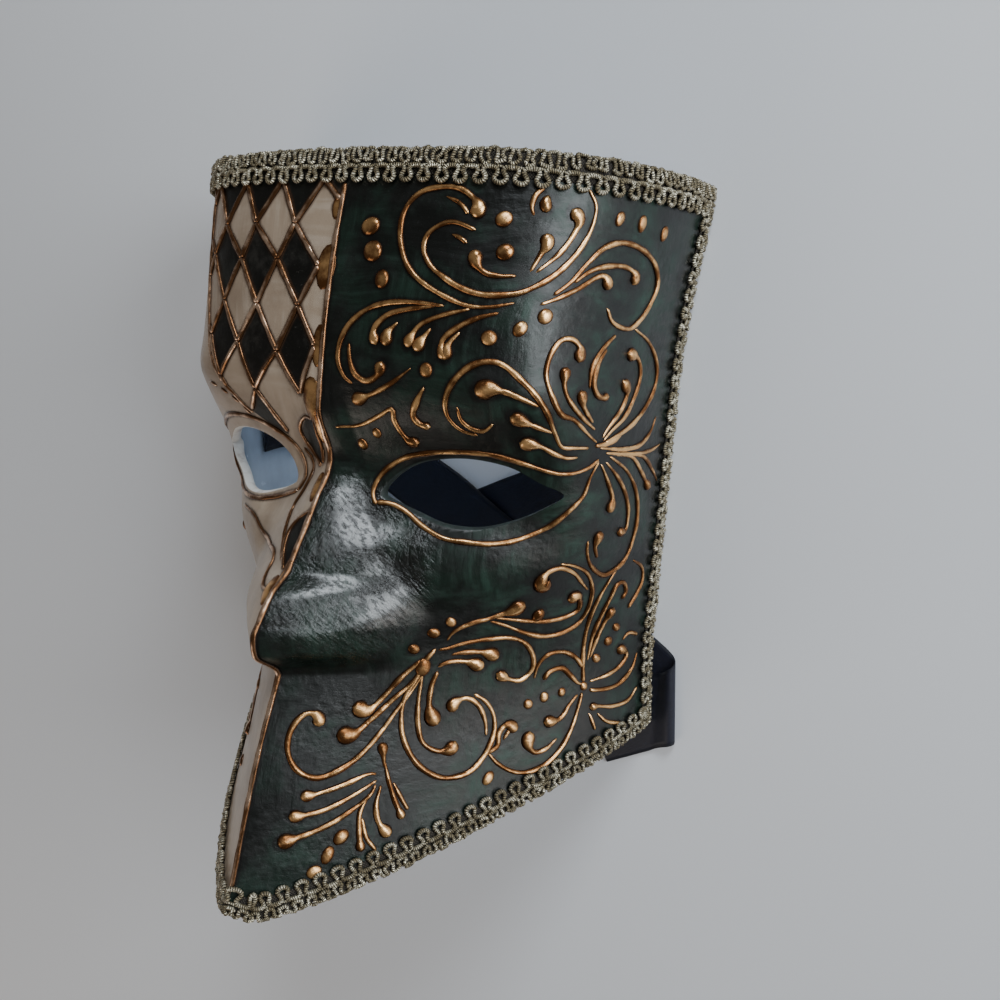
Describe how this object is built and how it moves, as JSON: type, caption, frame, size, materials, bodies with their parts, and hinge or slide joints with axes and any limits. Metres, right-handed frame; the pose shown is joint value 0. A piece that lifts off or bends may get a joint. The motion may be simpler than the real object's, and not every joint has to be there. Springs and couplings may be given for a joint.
{
  "type": "carnival mask",
  "caption": "Full-face bauta carnival mask with eye holes, jutting keel chin, scroll-work half and harlequin half, braided rim and tie ribbons, lying face up on its side edges.",
  "frame": {"origin": "On the ground under the middle of the mask, which lies face up on its two side edges: the bottom centre of its bounding box.", "axes": "+Z out of the face, +Y toward the forehead, +X toward the scroll-work half, which is the right-hand half for someone who looks at the mask."},
  "size_m": [0.1728, 0.2117, 0.1244],
  "materials": {
    "painted_shell": "satin",
    "metallic_braid": "satin",
    "satin_ribbon": "satin"
  },
  "bodies": {
    "root": {"mask_shell": "painted_shell", "edge_braid": "metallic_braid", "ribbon_long": "satin_ribbon", "ribbon_short": "satin_ribbon"}
  },
  "joints": []
}
